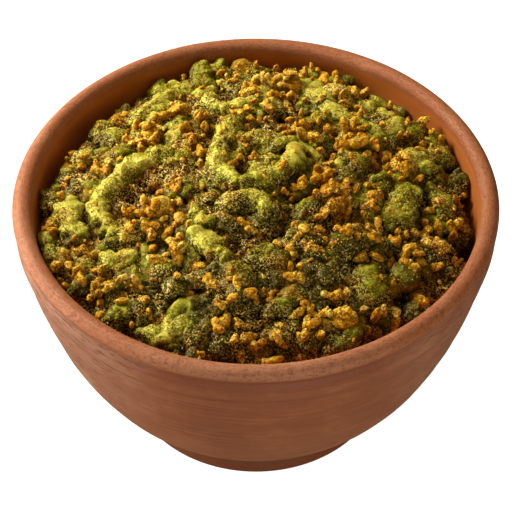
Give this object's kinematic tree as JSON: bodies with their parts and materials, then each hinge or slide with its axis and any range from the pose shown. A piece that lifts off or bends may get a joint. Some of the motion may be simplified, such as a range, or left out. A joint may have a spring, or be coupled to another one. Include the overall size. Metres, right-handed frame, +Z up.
{
  "type": "bowl of chopped bitter gourd",
  "caption": "Footed terracotta bowl heaped with chopped fried bitter gourd, strips of dark rind and golden fried crumbs, for table and kitchen scenes",
  "frame": {"origin": "middle of the foot, on the surface the bowl stands on", "axes": "+Z up, along the bowl's turning axis; +X to the right and +Y away as the dish is seen from its front"},
  "size_m": [0.15, 0.15, 0.0962],
  "materials": {
    "terracotta": "unglazed fired clay, fine turning lines, small pits",
    "mixture": "moist finely chopped gourd, seeds and crumbs",
    "gourd_flesh": "soft cooked lime green flesh with a slight oily sheen",
    "gourd_rind": "dark green warty rind, oily",
    "fried_nugget": "golden brown fried crumb"
  },
  "bodies": {
    "root": {"terracotta_bowl": "terracotta", "gourd_mixture": "mixture", "gourd_slice_1": "gourd_flesh", "gourd_slice_2": "gourd_flesh", "gourd_slice_3": "gourd_flesh", "gourd_slice_4": "gourd_flesh", "gourd_slice_5": "gourd_flesh", "gourd_slice_6": "gourd_flesh", "gourd_slice_7": "gourd_flesh", "gourd_slice_8": "gourd_flesh", "gourd_slice_9": "gourd_flesh", "gourd_slice_10": "gourd_flesh", "gourd_slice_11": "gourd_flesh", "gourd_slice_12": "gourd_flesh", "gourd_slice_13": "gourd_flesh", "gourd_slice_14": "gourd_flesh", "gourd_slice_15": "gourd_flesh", "gourd_slice_16": "gourd_flesh", "gourd_slice_17": "gourd_flesh", "gourd_slice_18": "gourd_flesh", "gourd_chunk_1": "gourd_flesh", "gourd_chunk_2": "gourd_flesh", "gourd_chunk_3": "gourd_flesh", "gourd_chunk_4": "gourd_flesh", "gourd_chunk_5": "gourd_flesh", "gourd_chunk_6": "gourd_flesh", "gourd_chunk_7": "gourd_flesh", "gourd_chunk_8": "gourd_flesh", "gourd_chunk_9": "gourd_flesh", "gourd_chunk_10": "gourd_flesh", "gourd_chunk_11": "gourd_flesh", "gourd_chunk_12": "gourd_flesh", "gourd_chunk_13": "gourd_flesh", "gourd_chunk_14": "gourd_flesh", "gourd_chunk_15": "gourd_flesh", "rind_piece_1": "gourd_rind", "rind_piece_2": "gourd_rind", "rind_piece_3": "gourd_rind", "rind_piece_4": "gourd_rind", "rind_piece_5": "gourd_rind", "rind_piece_6": "gourd_rind", "rind_piece_7": "gourd_rind", "rind_piece_8": "gourd_rind", "rind_piece_9": "gourd_rind", "rind_piece_10": "gourd_rind", "rind_piece_11": "gourd_rind", "rind_piece_12": "gourd_rind", "rind_piece_13": "gourd_rind", "fried_nugget_1": "fried_nugget", "fried_nugget_2": "fried_nugget", "fried_nugget_3": "fried_nugget", "fried_nugget_4": "fried_nugget", "fried_nugget_5": "fried_nugget", "fried_nugget_6": "fried_nugget", "fried_nugget_7": "fried_nugget", "fried_nugget_8": "fried_nugget", "fried_nugget_9": "fried_nugget", "fried_nugget_10": "fried_nugget"}
  },
  "joints": []
}
